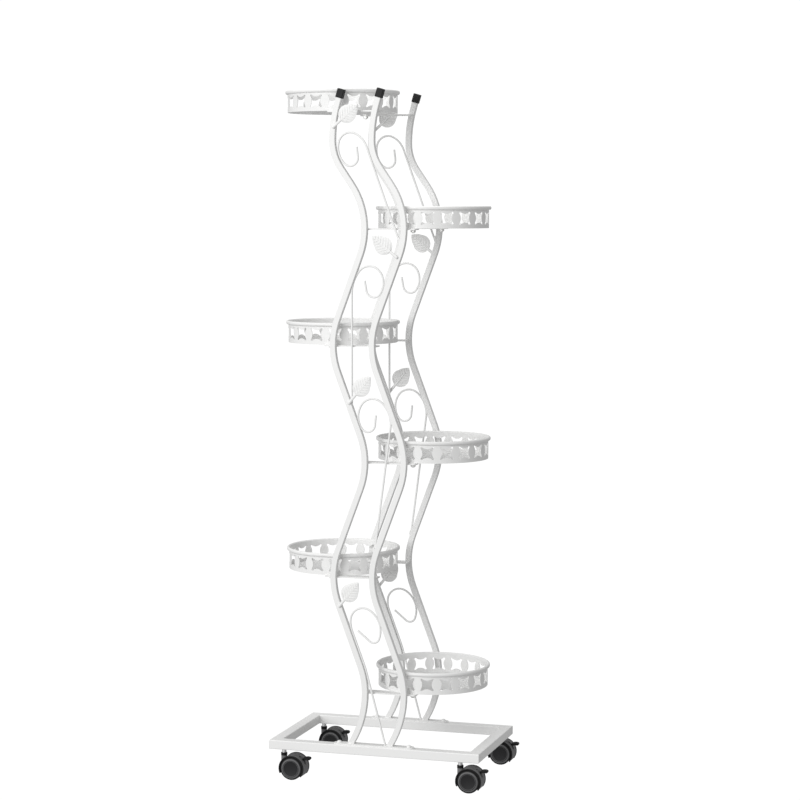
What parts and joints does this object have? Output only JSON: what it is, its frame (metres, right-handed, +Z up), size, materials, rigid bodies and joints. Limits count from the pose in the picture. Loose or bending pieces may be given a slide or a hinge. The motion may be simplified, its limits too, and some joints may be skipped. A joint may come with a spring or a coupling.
{
  "type": "rolling plant stand",
  "caption": "Tall rolling plant stand of coated steel: round pierced trays alternate left and right between two serpentine panels on a base with braked casters.",
  "frame": {"origin": "on the floor under the middle of the whole outline", "axes": "+X to the right along the base, +Y from the front panel to the rear panel, +Z up"},
  "size_m": [0.395, 0.249, 1.1976],
  "materials": {
    "white_coating": "satin powder coat",
    "black_plastic": "moulded",
    "grey_plastic": "moulded",
    "zinc_plate": "zinc plated",
    "bright_steel": "bright"
  },
  "bodies": {
    "frame": {"front_rail": "white_coating", "front_foot_bar": "white_coating", "front_left_post": "white_coating", "front_right_post": "white_coating", "front_rungs": "white_coating", "front_scrolls": "white_coating", "front_leaves": "white_coating", "rear_rail": "white_coating", "rear_foot_bar": "white_coating", "rear_left_post": "white_coating", "rear_right_post": "white_coating", "rear_rungs": "white_coating", "rear_scrolls": "white_coating", "rear_leaves": "white_coating", "left_rail": "white_coating", "right_rail": "white_coating", "base_bolts": "white_coating", "tray_screws": "white_coating", "tray_1_wall": "white_coating", "tray_1_floor": "white_coating", "tray_2_wall": "white_coating", "tray_2_floor": "white_coating", "tray_3_wall": "white_coating", "tray_3_floor": "white_coating", "tray_4_wall": "white_coating", "tray_4_floor": "white_coating", "tray_5_wall": "white_coating", "tray_5_floor": "white_coating", "tray_6_wall": "white_coating", "tray_6_floor": "white_coating", "tray_nuts": "zinc_plate", "base_nuts": "zinc_plate", "stem_nuts": "zinc_plate", "post_caps": "black_plastic", "front_left_stem": "bright_steel", "front_right_stem": "bright_steel", "rear_left_stem": "bright_steel", "rear_right_stem": "bright_steel"},
    "front_left_swivel": {"front_left_hood": "black_plastic", "front_left_axle": "bright_steel"},
    "front_left_brake": {"front_left_brake_lever": "black_plastic"},
    "front_left_outer_wheel": {"front_left_outer_wheel": "grey_plastic"},
    "front_left_inner_wheel": {"front_left_inner_wheel": "grey_plastic"},
    "front_right_swivel": {"front_right_hood": "black_plastic", "front_right_axle": "bright_steel"},
    "front_right_brake": {"front_right_brake_lever": "black_plastic"},
    "front_right_outer_wheel": {"front_right_outer_wheel": "grey_plastic"},
    "front_right_inner_wheel": {"front_right_inner_wheel": "grey_plastic"},
    "rear_left_swivel": {"rear_left_hood": "black_plastic", "rear_left_axle": "bright_steel"},
    "rear_left_brake": {"rear_left_brake_lever": "black_plastic"},
    "rear_left_outer_wheel": {"rear_left_outer_wheel": "grey_plastic"},
    "rear_left_inner_wheel": {"rear_left_inner_wheel": "grey_plastic"},
    "rear_right_swivel": {"rear_right_hood": "black_plastic", "rear_right_axle": "bright_steel"},
    "rear_right_brake": {"rear_right_brake_lever": "black_plastic"},
    "rear_right_outer_wheel": {"rear_right_outer_wheel": "grey_plastic"},
    "rear_right_inner_wheel": {"rear_right_inner_wheel": "grey_plastic"}
  },
  "joints": [
    {"name": "front_left_swivel_turn", "type": "hinge", "parent": "frame", "child": "front_left_swivel", "pos_m": [-0.17177, -0.1075, 0.048], "axis": [0, 0, 1], "continuous": true},
    {"name": "front_left_outer_wheel_spin", "type": "hinge", "parent": "front_left_swivel", "child": "front_left_outer_wheel", "pos_m": [-0.15377, -0.1075, 0.02], "axis": [0, 1, 0], "continuous": true},
    {"name": "front_left_inner_wheel_spin", "type": "hinge", "parent": "front_left_swivel", "child": "front_left_inner_wheel", "pos_m": [-0.15377, -0.1075, 0.02], "axis": [0, 1, 0], "continuous": true},
    {"name": "front_left_brake_press", "type": "hinge", "parent": "front_left_swivel", "child": "front_left_brake", "pos_m": [-0.1427, -0.1075, 0.02997], "axis": [0, 1, 0], "range_deg": [0, 12]},
    {"name": "front_right_swivel_turn", "type": "hinge", "parent": "frame", "child": "front_right_swivel", "pos_m": [0.14823, -0.1075, 0.048], "axis": [0, 0, 1], "continuous": true},
    {"name": "front_right_outer_wheel_spin", "type": "hinge", "parent": "front_right_swivel", "child": "front_right_outer_wheel", "pos_m": [0.16623, -0.1075, 0.02], "axis": [0, 1, 0], "continuous": true},
    {"name": "front_right_inner_wheel_spin", "type": "hinge", "parent": "front_right_swivel", "child": "front_right_inner_wheel", "pos_m": [0.16623, -0.1075, 0.02], "axis": [0, 1, 0], "continuous": true},
    {"name": "front_right_brake_press", "type": "hinge", "parent": "front_right_swivel", "child": "front_right_brake", "pos_m": [0.1773, -0.1075, 0.02997], "axis": [0, 1, 0], "range_deg": [0, 12]},
    {"name": "rear_left_swivel_turn", "type": "hinge", "parent": "frame", "child": "rear_left_swivel", "pos_m": [-0.17177, 0.1075, 0.048], "axis": [0, 0, 1], "continuous": true},
    {"name": "rear_left_outer_wheel_spin", "type": "hinge", "parent": "rear_left_swivel", "child": "rear_left_outer_wheel", "pos_m": [-0.15377, 0.1075, 0.02], "axis": [0, 1, 0], "continuous": true},
    {"name": "rear_left_inner_wheel_spin", "type": "hinge", "parent": "rear_left_swivel", "child": "rear_left_inner_wheel", "pos_m": [-0.15377, 0.1075, 0.02], "axis": [0, 1, 0], "continuous": true},
    {"name": "rear_left_brake_press", "type": "hinge", "parent": "rear_left_swivel", "child": "rear_left_brake", "pos_m": [-0.1427, 0.1075, 0.02997], "axis": [0, 1, 0], "range_deg": [0, 12]},
    {"name": "rear_right_swivel_turn", "type": "hinge", "parent": "frame", "child": "rear_right_swivel", "pos_m": [0.14823, 0.1075, 0.048], "axis": [0, 0, 1], "continuous": true},
    {"name": "rear_right_outer_wheel_spin", "type": "hinge", "parent": "rear_right_swivel", "child": "rear_right_outer_wheel", "pos_m": [0.16623, 0.1075, 0.02], "axis": [0, 1, 0], "continuous": true},
    {"name": "rear_right_inner_wheel_spin", "type": "hinge", "parent": "rear_right_swivel", "child": "rear_right_inner_wheel", "pos_m": [0.16623, 0.1075, 0.02], "axis": [0, 1, 0], "continuous": true},
    {"name": "rear_right_brake_press", "type": "hinge", "parent": "rear_right_swivel", "child": "rear_right_brake", "pos_m": [0.1773, 0.1075, 0.02997], "axis": [0, 1, 0], "range_deg": [0, 12]}
  ]
}
